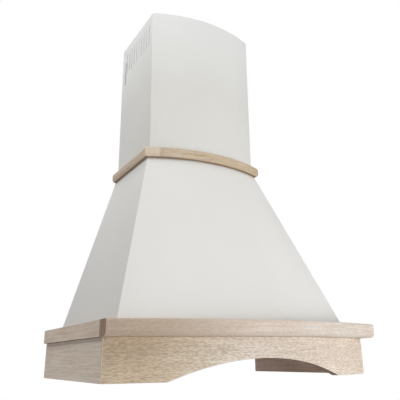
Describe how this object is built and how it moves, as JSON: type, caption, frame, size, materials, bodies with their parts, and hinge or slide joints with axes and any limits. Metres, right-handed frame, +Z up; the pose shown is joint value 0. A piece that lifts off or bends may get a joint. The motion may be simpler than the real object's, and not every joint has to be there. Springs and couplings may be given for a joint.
{
  "type": "range hood",
  "caption": "Country style wall chimney hood with a bowed sheet steel canopy and chimney on an arched beech skirt, hinged grease filters, push buttons, lamps and a fan with a round outlet",
  "frame": {"origin": "under the middle of the footprint, level with the skirt's lower edge", "axes": "+Z up, -Y towards the cook, +Y into the wall, +X to the right as the cook sees it"},
  "size_m": [0.6, 0.4749, 0.882],
  "materials": {
    "beech": "unfinished planed beech",
    "beech_inner": "unfinished sawn beech",
    "cream_steel": "cream-white powder coat, satin",
    "zinc_steel": "zinc-plated sheet",
    "stainless": "brushed stainless sheet",
    "filter_alloy": "anodised and expanded aluminium",
    "black_plastic": "moulded black plastic",
    "grey_plastic": "moulded grey plastic",
    "button_plastic": "glossy moulded plastic",
    "lamp_glass": "frosted lamp glass",
    "lamp_chrome": "polished",
    "motor_iron": "laminated iron",
    "bearing_bronze": "sintered bronze",
    "gland_rubber": "moulded rubber"
  },
  "bodies": {
    "hood": {"rail_front": "beech", "rail_left": "beech", "rail_right": "beech", "skirt_front": "beech", "skirt_left": "beech", "skirt_right": "beech", "batten_front": "beech_inner", "batten_left": "beech_inner", "batten_right": "beech_inner", "batten_rear": "beech_inner", "corner_blocks": "beech_inner", "canopy_shell": "cream_steel", "collar_front": "beech", "collar_left": "beech", "collar_right": "beech", "neck_rests": "zinc_steel", "rear_panel": "zinc_steel", "base_panel": "stainless", "filter_clips": "zinc_steel", "control_bezel": "black_plastic", "switch_block": "grey_plastic", "lamp_ring_left": "lamp_chrome", "lamp_lens_left": "lamp_glass", "lamp_body_left": "zinc_steel", "lamp_ring_right": "lamp_chrome", "lamp_lens_right": "lamp_glass", "lamp_body_right": "zinc_steel", "blower_housing_left": "black_plastic", "blower_housing_right": "black_plastic", "blower_brackets": "zinc_steel", "motor_case": "zinc_steel", "motor_stator": "motor_iron", "motor_bearings": "bearing_bronze", "motor_bracket": "zinc_steel", "outlet_collar": "black_plastic", "damper_rods": "stainless", "junction_box": "grey_plastic", "capacitor": "grey_plastic", "cable_gland": "gland_rubber", "wood_screws": "zinc_steel", "sheet_screws": "zinc_steel"},
    "chimney": {"chimney_shell": "cream_steel", "chimney_bracket": "zinc_steel", "chimney_screws": "zinc_steel"},
    "filter_left": {"filter_frame_left": "filter_alloy", "filter_mesh_left": "filter_alloy"},
    "filter_right": {"filter_frame_right": "filter_alloy", "filter_mesh_right": "filter_alloy"},
    "latch_left": {"filter_latch_left": "black_plastic"},
    "latch_right": {"filter_latch_right": "black_plastic"},
    "fan_wheel": {"impeller": "zinc_steel", "motor_shaft": "stainless", "motor_rotor": "motor_iron"},
    "damper_front": {"damper_flap_front": "filter_alloy"},
    "damper_rear": {"damper_flap_rear": "filter_alloy"},
    "push_button_1": {"button_1": "button_plastic"},
    "push_button_2": {"button_2": "button_plastic"},
    "push_button_3": {"button_3": "button_plastic"},
    "push_button_4": {"button_4": "button_plastic"},
    "push_button_5": {"button_5": "button_plastic"}
  },
  "joints": [
    {"name": "chimney_slide", "type": "slide", "parent": "hood", "child": "chimney", "axis": [0, 0, 1], "range_m": [0, 0.08]},
    {"name": "filter_left_hinge", "type": "hinge", "parent": "hood", "child": "filter_left", "pos_m": [-0.124, 0.2085, 0.0745], "axis": [1, 0, 0], "range_deg": [0, 80]},
    {"name": "filter_right_hinge", "type": "hinge", "parent": "hood", "child": "filter_right", "pos_m": [0.124, 0.2085, 0.0745], "axis": [1, 0, 0], "range_deg": [0, 80]},
    {"name": "latch_left_slide", "type": "slide", "parent": "filter_left", "child": "latch_left", "axis": [0, 1, 0], "range_m": [0, 0.008], "stiffness_N_per_m": 200, "springref_m": -0.004},
    {"name": "latch_right_slide", "type": "slide", "parent": "filter_right", "child": "latch_right", "axis": [0, 1, 0], "range_m": [0, 0.008], "stiffness_N_per_m": 200, "springref_m": -0.004},
    {"name": "fan_spin", "type": "hinge", "parent": "hood", "child": "fan_wheel", "pos_m": [0, 0.0725, 0.262], "axis": [1, 0, 0], "continuous": true},
    {"name": "damper_front_hinge", "type": "hinge", "parent": "hood", "child": "damper_front", "pos_m": [0, 0.118, 0.3934], "axis": [-1, 0, 0], "range_deg": [0, 80]},
    {"name": "damper_rear_hinge", "type": "hinge", "parent": "hood", "child": "damper_rear", "pos_m": [0, 0.127, 0.3934], "axis": [1, 0, 0], "range_deg": [0, 80]},
    {"name": "push_button_1_press", "type": "slide", "parent": "hood", "child": "push_button_1", "axis": [0, 0, 1], "range_m": [0, 0.0025], "stiffness_N_per_m": 300, "springref_m": -0.001},
    {"name": "push_button_2_press", "type": "slide", "parent": "hood", "child": "push_button_2", "axis": [0, 0, 1], "range_m": [0, 0.0025], "stiffness_N_per_m": 300, "springref_m": -0.001},
    {"name": "push_button_3_press", "type": "slide", "parent": "hood", "child": "push_button_3", "axis": [0, 0, 1], "range_m": [0, 0.0025], "stiffness_N_per_m": 300, "springref_m": -0.001},
    {"name": "push_button_4_press", "type": "slide", "parent": "hood", "child": "push_button_4", "axis": [0, 0, 1], "range_m": [0, 0.0025], "stiffness_N_per_m": 300, "springref_m": -0.001},
    {"name": "push_button_5_press", "type": "slide", "parent": "hood", "child": "push_button_5", "axis": [0, 0, 1], "range_m": [0, 0.0025], "stiffness_N_per_m": 300, "springref_m": -0.001}
  ]
}
